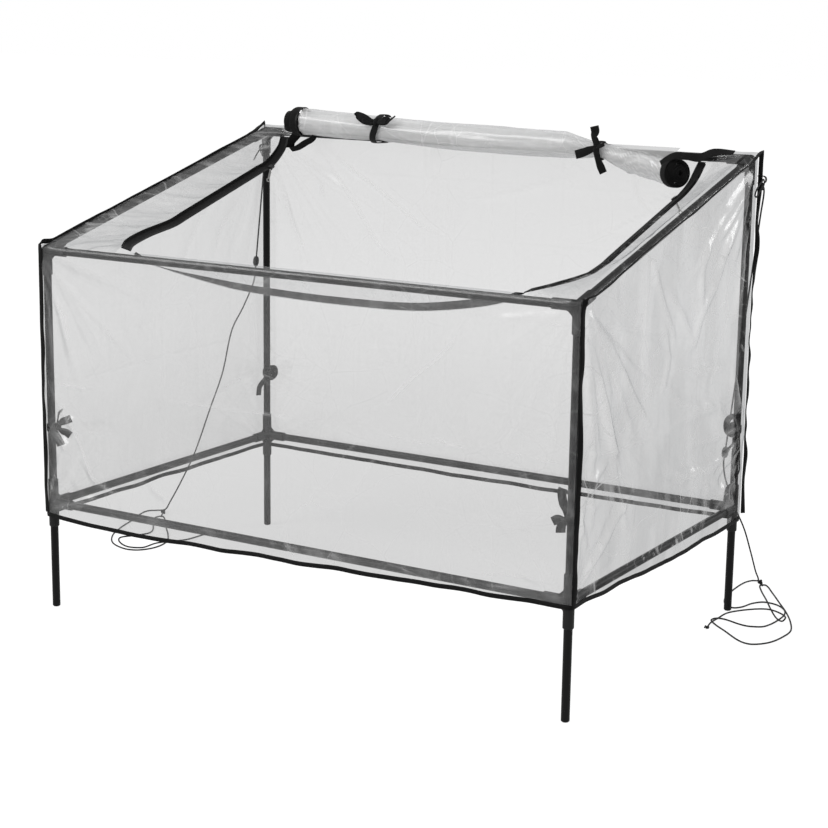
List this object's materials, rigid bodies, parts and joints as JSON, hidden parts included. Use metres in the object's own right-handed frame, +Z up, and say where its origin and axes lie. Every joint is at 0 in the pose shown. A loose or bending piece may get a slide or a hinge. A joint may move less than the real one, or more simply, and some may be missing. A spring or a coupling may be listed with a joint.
{
  "type": "raised bed greenhouse",
  "caption": "Box frame of push-fit tubes and moulded corners on legs, under a clear film cover whose sloping roof door is rolled up and tied.",
  "frame": {"origin": "on the ground, midway between the legs", "axes": "+X to the right along the long side, +Y from the low front to the high back, +Z up"},
  "size_m": [1.6544, 0.9881, 1.0041],
  "materials": {
    "tube": "satin",
    "fitting": "matte",
    "film": "gloss",
    "binding": "matte",
    "ribbon": "matte",
    "slider": "satin",
    "pull": "satin",
    "rope": "matte",
    "toggle": "matte"
  },
  "bodies": {
    "greenhouse": {"leg_front_left": "tube", "leg_front_right": "tube", "leg_back_left": "tube", "leg_back_right": "tube", "post_front_left": "tube", "post_front_right": "tube", "post_back_left": "tube", "post_back_right": "tube", "front_bottom_rail_left": "tube", "front_bottom_rail_right": "tube", "front_top_rail_left": "tube", "front_top_rail_right": "tube", "back_bottom_rail_left": "tube", "back_bottom_rail_right": "tube", "back_top_rail_left": "tube", "back_top_rail_right": "tube", "side_bottom_rail_left": "tube", "side_bottom_rail_right": "tube", "side_top_rail_left": "tube", "side_top_rail_right": "tube", "bottom_fitting_front_left": "fitting", "bottom_fitting_front_right": "fitting", "bottom_fitting_back_left": "fitting", "bottom_fitting_back_right": "fitting", "top_fitting_front_left": "fitting", "top_fitting_front_right": "fitting", "top_fitting_back_left": "fitting", "top_fitting_back_right": "fitting", "cover_front": "film", "cover_back": "film", "cover_left": "film", "cover_right": "film", "roof_margin_left": "film", "roof_margin_right": "film", "roof_margin_front": "film", "door_roll": "film", "seam_binding_left": "binding", "seam_binding_right": "binding", "hem_binding": "binding", "zip_tape_left": "binding", "zip_tape_right": "binding", "zip_tape_front": "binding", "door_tape_left": "binding", "door_tape_right": "binding", "roll_tie_left": "ribbon", "roll_tie_right": "ribbon", "post_tie_front_left": "ribbon", "post_tie_front_right": "ribbon", "post_tie_back_left": "ribbon", "post_tie_back_right": "ribbon", "guy_rope_left": "rope", "guy_rope_right": "rope"},
    "left_slider": {"zip_slider_left": "slider"},
    "right_slider": {"zip_slider_right": "slider"},
    "left_pull": {"zip_pull_left": "pull"},
    "right_pull": {"zip_pull_right": "pull"},
    "left_toggle": {"rope_toggle_left": "toggle"},
    "right_toggle": {"rope_toggle_right": "toggle"}
  },
  "joints": [
    {"name": "left_zip_slide", "type": "slide", "parent": "greenhouse", "child": "left_slider", "axis": [0.0679, -0.9678, -0.2426], "range_m": [0, 0.34]},
    {"name": "right_zip_slide", "type": "slide", "parent": "greenhouse", "child": "right_slider", "axis": [0.0401, -0.9698, -0.2405], "range_m": [0, 0.33]},
    {"name": "left_pull_hinge", "type": "hinge", "parent": "left_slider", "child": "left_pull", "pos_m": [-0.48575, 0.24675, 0.86523], "axis": [0.9559, 0.1327, -0.2619], "range_deg": [-60, 60]},
    {"name": "right_pull_hinge", "type": "hinge", "parent": "right_slider", "child": "right_pull", "pos_m": [0.477, 0.27631, 0.85646], "axis": [-0.8887, 0.0754, -0.4522], "range_deg": [-60, 60]},
    {"name": "left_toggle_slide", "type": "slide", "parent": "greenhouse", "child": "left_toggle", "axis": [0.1065, -0.0002, 0.9943], "range_m": [0, 0.16]},
    {"name": "right_toggle_slide", "type": "slide", "parent": "greenhouse", "child": "right_toggle", "axis": [0.114, -0.0363, 0.9928], "range_m": [0, 0.4]}
  ]
}
